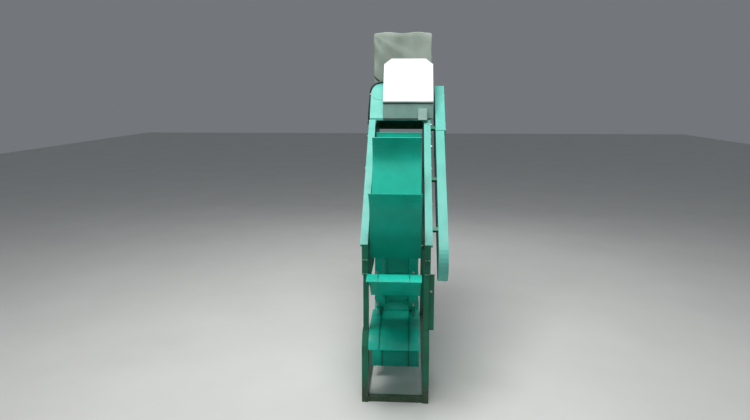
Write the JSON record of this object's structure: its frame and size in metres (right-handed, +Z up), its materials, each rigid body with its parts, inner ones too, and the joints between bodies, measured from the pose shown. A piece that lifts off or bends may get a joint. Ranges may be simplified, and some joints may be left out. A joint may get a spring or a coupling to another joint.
{
  "type": "steel water wheel turbine",
  "caption": "Steel water wheel turbine: curved blades in an inclined frame, with hood, cabinet, covered generator and drive guard.",
  "frame": {"origin": "on the ground, under the middle of the front cross beam", "axes": "+Z up, +Y from the front feet to the rear, +X to the right as seen from the front"},
  "size_m": [1.283, 4.3265, 5.34],
  "materials": {
    "teal_paint": "gloss",
    "dark_teal_paint": "gloss",
    "grey_green_paint": "satin",
    "white_paint": "gloss",
    "bearing_steel": "satin",
    "cover_cloth": "matt",
    "black_plastic": "matt"
  },
  "bodies": {
    "frame": {"rail_left": "teal_paint", "rail_right": "teal_paint", "post_joint_left": "dark_teal_paint", "post_joint_right": "dark_teal_paint", "post_left": "dark_teal_paint", "post_right": "dark_teal_paint", "foot_left": "dark_teal_paint", "foot_right": "dark_teal_paint", "base_beam_left": "dark_teal_paint", "base_beam_right": "dark_teal_paint", "rear_post_left": "dark_teal_paint", "rear_post_right": "dark_teal_paint", "head_rail_left": "teal_paint", "head_rail_right": "teal_paint", "side_plate_left": "dark_teal_paint", "side_plate_right": "dark_teal_paint", "bearing_left": "bearing_steel", "bearing_right": "bearing_steel", "front_cross_beam": "dark_teal_paint", "rear_cross_beam": "dark_teal_paint", "head_cross_beam": "dark_teal_paint", "hood": "teal_paint", "cabinet": "grey_green_paint", "cabinet_lid": "white_paint", "junction_box": "grey_green_paint", "generator": "grey_green_paint", "cover": "cover_cloth", "guard_lower": "teal_paint", "guard_upper": "teal_paint", "guard_bracket_1": "dark_teal_paint", "guard_bracket_2": "dark_teal_paint", "guard_bracket_3": "dark_teal_paint", "generator_lead": "black_plastic", "lead_gland": "black_plastic"},
    "wheel": {"blade_1": "teal_paint", "blade_2": "teal_paint", "blade_3": "teal_paint", "blade_4": "teal_paint", "blade_5": "teal_paint", "blade_6": "teal_paint", "blade_7": "teal_paint", "blade_8": "teal_paint", "blade_9": "teal_paint", "blade_10": "teal_paint", "ring_left": "teal_paint", "ring_right": "teal_paint", "shaft": "bearing_steel"}
  },
  "joints": [
    {"name": "wheel_spin", "type": "hinge", "parent": "frame", "child": "wheel", "pos_m": [0, 1.319, 1.939], "axis": [1, 0, 0], "continuous": true}
  ]
}
